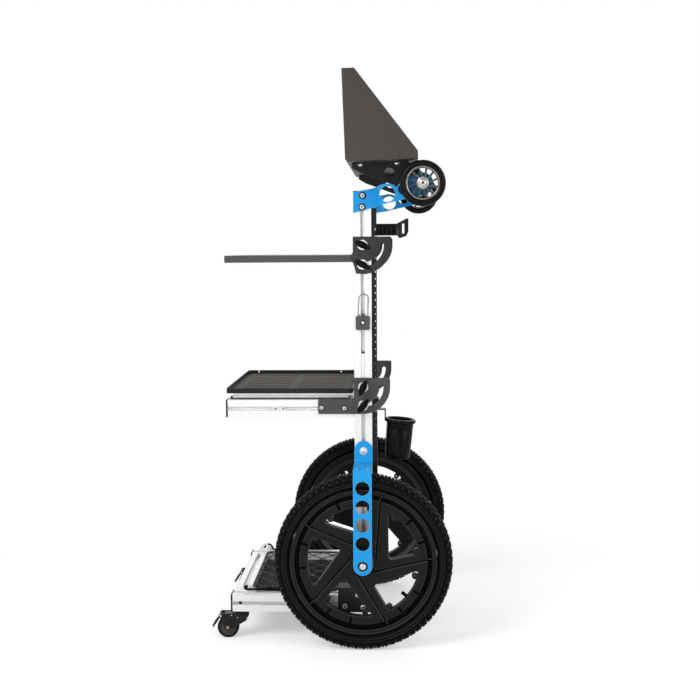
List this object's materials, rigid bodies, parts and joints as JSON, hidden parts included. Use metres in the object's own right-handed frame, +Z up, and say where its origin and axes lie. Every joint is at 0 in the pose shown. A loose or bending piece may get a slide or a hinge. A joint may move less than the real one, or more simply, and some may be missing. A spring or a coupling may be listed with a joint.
{
  "type": "sound cart",
  "caption": "Upright sound cart of slotted aluminium on spoked wheels and swivel casters, with tilting console box, fold-up shelf, tilting sliding tray and netted platform.",
  "frame": {"origin": "bottom centre of the cart's bounding box, on the floor", "axes": "+Z up, +X towards the operator behind the console, +Y to the operator's right; shelves reach to -X"},
  "size_m": [0.5538, 0.602, 1.2826],
  "materials": {
    "anodised_aluminium": "clear anodised extrusion, satin",
    "zinc_plated_steel": "bright zinc plate",
    "blue_powder_coat": "satin bright blue powder coat",
    "black_powder_coat": "satin black powder coat",
    "dark_textured_coat": "fine textured dark grey powder coat",
    "tyre_rubber": "matt black tyre rubber",
    "black_rubber": "matt black rubber",
    "charcoal_plastic": "moulded charcoal plastic, satin",
    "cast_hub_metal": "cast metal, machined face",
    "black_plastic": "moulded black plastic, satin",
    "black_deck_board": "matt black board",
    "black_elastic_cord": "braided black elastic cord"
  },
  "bodies": {
    "frame": {"upright_left": "anodised_aluminium", "upright_right": "anodised_aluminium", "cross_rail_top": "anodised_aluminium", "cross_rail_bottom": "anodised_aluminium", "rack_rail": "black_powder_coat", "stirrup_left": "blue_powder_coat", "stirrup_right": "blue_powder_coat", "axle_left": "zinc_plated_steel", "axle_right": "zinc_plated_steel", "top_arm_left": "blue_powder_coat", "top_arm_right": "blue_powder_coat", "small_axle_left": "zinc_plated_steel", "small_axle_right": "zinc_plated_steel", "platform_rail_left": "anodised_aluminium", "platform_rail_right": "anodised_aluminium", "platform_front_rail": "anodised_aluminium", "floor_panel": "black_deck_board", "cargo_net": "black_elastic_cord", "rear_bracket_left": "black_plastic", "rear_bracket_right": "black_plastic", "caster_plate_left": "black_plastic", "caster_plate_right": "black_plastic", "pole_cup": "black_plastic", "pole_clip": "black_rubber", "hook_block": "black_plastic"},
    "console": {"console_box": "dark_textured_coat", "console_bracket_left": "black_powder_coat", "console_bracket_right": "black_powder_coat"},
    "upper_shelf": {"upper_shelf": "black_powder_coat"},
    "middle_shelf": {"mid_rail_left": "anodised_aluminium", "mid_rail_right": "anodised_aluminium", "mid_plate_left": "black_powder_coat", "mid_plate_right": "black_powder_coat", "mid_cross_rail": "anodised_aluminium"},
    "tray": {"tray": "black_powder_coat"},
    "wire_loop": {"wire_loop": "zinc_plated_steel"},
    "main_wheel_left": {"wheel_rim_left": "charcoal_plastic", "tyre_left": "tyre_rubber"},
    "small_wheel_left": {"small_rim_left": "cast_hub_metal", "small_tyre_left": "tyre_rubber"},
    "caster_left": {"caster_fork_left": "black_plastic"},
    "caster_wheel_left": {"caster_wheel_left": "black_rubber"},
    "pedal_left": {"brake_pedal_left": "black_plastic"},
    "knob_upper_pivot_left": {"knob_upper_pivot_left": "black_plastic"},
    "knob_upper_clamp_left": {"knob_upper_clamp_left": "black_plastic"},
    "knob_middle_pivot_left": {"knob_middle_pivot_left": "black_plastic"},
    "knob_middle_clamp_left": {"knob_middle_clamp_left": "black_plastic"},
    "main_wheel_right": {"wheel_rim_right": "charcoal_plastic", "tyre_right": "tyre_rubber"},
    "small_wheel_right": {"small_rim_right": "cast_hub_metal", "small_tyre_right": "tyre_rubber"},
    "caster_right": {"caster_fork_right": "black_plastic"},
    "caster_wheel_right": {"caster_wheel_right": "black_rubber"},
    "pedal_right": {"brake_pedal_right": "black_plastic"},
    "knob_upper_pivot_right": {"knob_upper_pivot_right": "black_plastic"},
    "knob_upper_clamp_right": {"knob_upper_clamp_right": "black_plastic"},
    "knob_middle_pivot_right": {"knob_middle_pivot_right": "black_plastic"},
    "knob_middle_clamp_right": {"knob_middle_clamp_right": "black_plastic"}
  },
  "joints": [
    {"name": "console_tilt", "type": "hinge", "parent": "frame", "child": "console", "pos_m": [0.21018, 0, 1.0376], "axis": [0, 1, 0], "range_deg": [-2, 15]},
    {"name": "upper_shelf_fold", "type": "hinge", "parent": "frame", "child": "upper_shelf", "pos_m": [0.07688, 0, 0.9055], "axis": [0, 1, 0], "range_deg": [0, 80]},
    {"name": "middle_shelf_tilt", "type": "hinge", "parent": "frame", "child": "middle_shelf", "pos_m": [0.07688, 0, 0.5865], "axis": [0, 1, 0], "range_deg": [0, 25]},
    {"name": "tray_slide", "type": "slide", "parent": "middle_shelf", "child": "tray", "axis": [-1, 0, 0], "range_m": [0, 0.2]},
    {"name": "main_wheel_spin_left", "type": "hinge", "parent": "frame", "child": "main_wheel_left", "pos_m": [0.07688, -0.249, 0.2], "axis": [0, 1, 0], "continuous": true},
    {"name": "small_wheel_spin_left", "type": "hinge", "parent": "frame", "child": "small_wheel_left", "pos_m": [0.21018, -0.2653, 1.0376], "axis": [0, 1, 0], "continuous": true},
    {"name": "caster_swivel_left", "type": "hinge", "parent": "frame", "child": "caster_left", "pos_m": [-0.21012, -0.18, 0.06], "axis": [0, 0, 1], "continuous": true},
    {"name": "caster_roll_left", "type": "hinge", "parent": "caster_left", "child": "caster_wheel_left", "pos_m": [-0.24012, -0.18, 0.025], "axis": [0, 1, 0], "continuous": true},
    {"name": "pedal_press_left", "type": "hinge", "parent": "caster_left", "child": "pedal_left", "pos_m": [-0.25662, -0.18, 0.053], "axis": [0, 1, 0], "range_deg": [-4, 14]},
    {"name": "turn_upper_pivot_left", "type": "hinge", "parent": "frame", "child": "knob_upper_pivot_left", "pos_m": [0.07688, -0.21, 0.9055], "axis": [0, -1, 0], "range_deg": [0, 180]},
    {"name": "turn_upper_clamp_left", "type": "hinge", "parent": "frame", "child": "knob_upper_clamp_left", "pos_m": [0.07688, -0.21, 0.862], "axis": [0, -1, 0], "range_deg": [0, 180]},
    {"name": "turn_middle_pivot_left", "type": "hinge", "parent": "frame", "child": "knob_middle_pivot_left", "pos_m": [0.07688, -0.21, 0.5865], "axis": [0, -1, 0], "range_deg": [0, 180]},
    {"name": "turn_middle_clamp_left", "type": "hinge", "parent": "frame", "child": "knob_middle_clamp_left", "pos_m": [0.07688, -0.21, 0.545], "axis": [0, -1, 0], "range_deg": [0, 180]},
    {"name": "main_wheel_spin_right", "type": "hinge", "parent": "frame", "child": "main_wheel_right", "pos_m": [0.07688, 0.249, 0.2], "axis": [0, 1, 0], "continuous": true},
    {"name": "small_wheel_spin_right", "type": "hinge", "parent": "frame", "child": "small_wheel_right", "pos_m": [0.21018, 0.2653, 1.0376], "axis": [0, 1, 0], "continuous": true},
    {"name": "caster_swivel_right", "type": "hinge", "parent": "frame", "child": "caster_right", "pos_m": [-0.21012, 0.18, 0.06], "axis": [0, 0, 1], "continuous": true},
    {"name": "caster_roll_right", "type": "hinge", "parent": "caster_right", "child": "caster_wheel_right", "pos_m": [-0.24012, 0.18, 0.025], "axis": [0, 1, 0], "continuous": true},
    {"name": "pedal_press_right", "type": "hinge", "parent": "caster_right", "child": "pedal_right", "pos_m": [-0.25662, 0.18, 0.053], "axis": [0, 1, 0], "range_deg": [-4, 14]},
    {"name": "turn_upper_pivot_right", "type": "hinge", "parent": "frame", "child": "knob_upper_pivot_right", "pos_m": [0.07688, 0.21, 0.9055], "axis": [0, 1, 0], "range_deg": [0, 180]},
    {"name": "turn_upper_clamp_right", "type": "hinge", "parent": "frame", "child": "knob_upper_clamp_right", "pos_m": [0.07688, 0.21, 0.862], "axis": [0, 1, 0], "range_deg": [0, 180]},
    {"name": "turn_middle_pivot_right", "type": "hinge", "parent": "frame", "child": "knob_middle_pivot_right", "pos_m": [0.07688, 0.21, 0.5865], "axis": [0, 1, 0], "range_deg": [0, 180]},
    {"name": "turn_middle_clamp_right", "type": "hinge", "parent": "frame", "child": "knob_middle_clamp_right", "pos_m": [0.07688, 0.21, 0.545], "axis": [0, 1, 0], "range_deg": [0, 180]},
    {"name": "wire_loop_fold", "type": "hinge", "parent": "frame", "child": "wire_loop", "pos_m": [0.07688, -0.2058, 0.7493], "axis": [1, 0, 0], "range_deg": [0, 90]}
  ]
}
